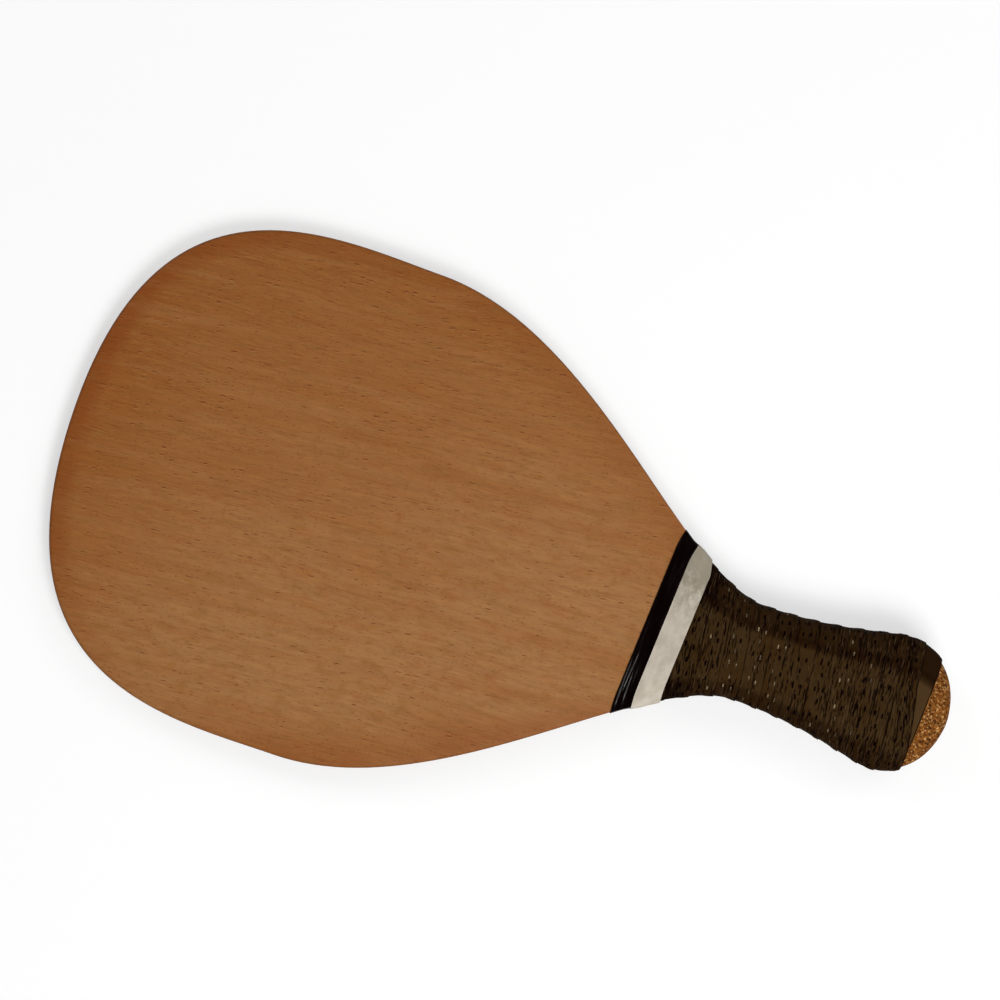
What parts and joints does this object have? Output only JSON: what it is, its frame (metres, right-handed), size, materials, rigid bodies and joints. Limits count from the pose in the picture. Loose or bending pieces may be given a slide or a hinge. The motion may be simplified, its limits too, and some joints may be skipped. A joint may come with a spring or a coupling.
{
  "type": "frescobol racket",
  "caption": "Wooden beach paddle with a broad squared-off oval plywood head, a flared handle with cork scales and wound grip, and taped neck.",
  "frame": {"origin": "under the middle of the racket's length, at the level of the lowest place of the wound handle", "axes": "+X along the racket towards the butt, +Z out of the front face of the blade, +Y across the head"},
  "size_m": [0.45, 0.2477, 0.03],
  "materials": {
    "face_veneer": "reddish-brown tropical veneer, sanded and lightly sealed, fine dark pores along the grain",
    "long_veneer": "sawn edge of a long-grain ply, sealed",
    "cross_veneer": "end grain of a cross-grain ply, a little darker",
    "cork": "agglomerated cork, sanded, with light and dark granules",
    "overgrip": "dark-brown perforated polyurethane overgrip, matte, creased along its winding",
    "black_tape": "black glossy vinyl tape with small folds",
    "silver_tape": "silver-grey tape, satin, smudged"
  },
  "bodies": {
    "root": {"face_ply_back": "face_veneer", "cross_ply_back": "cross_veneer", "long_ply_back": "long_veneer", "core_ply": "cross_veneer", "long_ply_front": "long_veneer", "cross_ply_front": "cross_veneer", "face_ply_front": "face_veneer", "cork_scale_front": "cork", "cork_scale_back": "cork", "grip_tape": "overgrip", "neck_tape": "black_tape", "finishing_tape": "silver_tape"}
  },
  "joints": []
}
